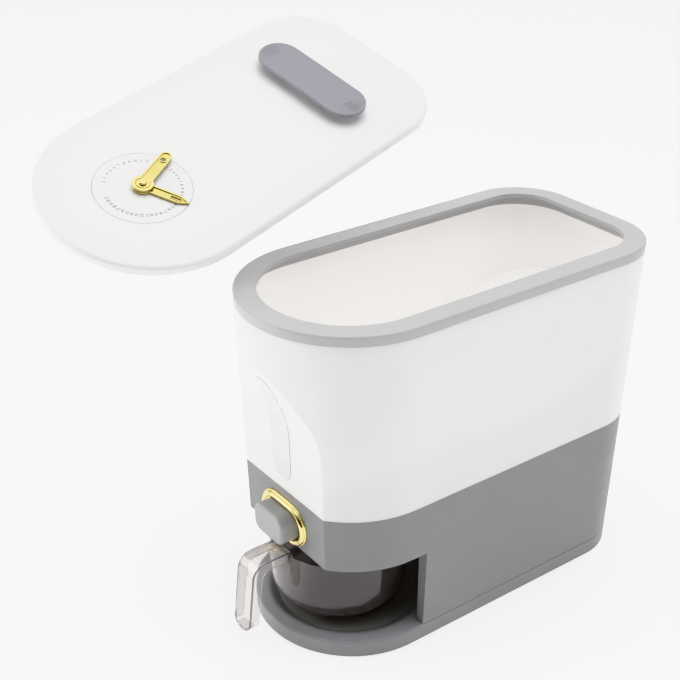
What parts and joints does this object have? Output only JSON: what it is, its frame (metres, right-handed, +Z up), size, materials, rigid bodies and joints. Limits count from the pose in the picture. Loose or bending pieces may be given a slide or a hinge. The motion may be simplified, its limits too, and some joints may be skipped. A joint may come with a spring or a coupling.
{
  "type": "rice dispenser",
  "caption": "Tall worktop rice dispenser with a round front, a push button that opens a shutter over a cup bay, a pull-out measuring cup and a lift-off lid with a date dial.",
  "frame": {"origin": "underside of the middle rubber pad, under the body's middle", "axes": "+X to the dispenser's right as seen from its front, -Y to the front where the button is, +Z up"},
  "size_m": [0.3608, 0.4902, 0.4728],
  "materials": {
    "tray": "moulded gray",
    "cover": "moulded dark gray",
    "pads": "soft black rubber",
    "screws": "zinc plated",
    "housing": "moulded light gray",
    "liner": "moulded dark gray",
    "hopper": "smooth white",
    "pane": "clear smoky plastic",
    "rim": "moulded gray",
    "funnel": "moulded white",
    "axle": "bright",
    "clips": "spring steel",
    "gate": "moulded gray",
    "button": "smooth light gray",
    "bezel": "metallised gold",
    "fork": "moulded gray",
    "bracket": "moulded gray",
    "spring": "wire",
    "cup": "clear smoky plastic",
    "lid": "smooth white",
    "seal": "soft gray rubber",
    "pull": "smooth gray",
    "dial": "smooth white",
    "pin": "polished",
    "hands": "metallised gold"
  },
  "bodies": {
    "dispenser": {"base_tray": "tray", "bottom_cover": "cover", "rubber_pads": "pads", "cover_screws": "screws", "lower_housing": "housing", "bay_liner": "liner", "hopper_shell": "hopper", "window_pane": "pane", "rim_ring": "rim", "hopper_funnel": "funnel", "shutter_axle": "axle", "axle_clips": "clips", "button_bezel": "bezel", "guide_bracket": "bracket", "guide_screws": "screws", "button_spring": "spring"},
    "button": {"button_cap": "button", "push_fork": "fork"},
    "shutter": {"shutter": "gate"},
    "cup": {"measuring_cup": "cup"},
    "lid": {"lid_panel": "lid", "lid_seal": "seal", "lid_pull": "pull", "pull_screws": "screws", "dial_disc": "dial", "dial_pin": "pin"},
    "date_hand": {"date_hand": "hands"},
    "month_hand": {"month_hand": "hands"}
  },
  "joints": [
    {"name": "button_push", "type": "slide", "parent": "dispenser", "child": "button", "axis": [0, 1, 0], "range_m": [0, 0.008], "stiffness_N_per_m": 400, "deforming": ["button_spring"]},
    {"name": "shutter_swing", "type": "hinge", "parent": "dispenser", "child": "shutter", "pos_m": [0, -0.1, 0.1285], "axis": [1, 0, 0], "range_deg": [0, 44]},
    {"name": "cup_slide", "type": "slide", "parent": "dispenser", "child": "cup", "axis": [0, -1, 0], "range_m": [0, 0.19]},
    {"name": "lid_lift", "type": "slide", "parent": "dispenser", "child": "lid", "axis": [0.3865, -0.1062, 0.9161], "range_m": [0, 0.12]},
    {"name": "date_hand_turn", "type": "hinge", "parent": "lid", "child": "date_hand", "pos_m": [-0.1284, -0.21128, 0.39105], "axis": [0.3865, -0.1062, 0.9161], "continuous": true},
    {"name": "month_hand_turn", "type": "hinge", "parent": "lid", "child": "month_hand", "pos_m": [-0.1284, -0.21128, 0.39105], "axis": [0.3865, -0.1062, 0.9161], "continuous": true}
  ],
  "couplings": [
    {"joint": "shutter_swing", "follows": "button_push", "rad_per_m": 95}
  ]
}
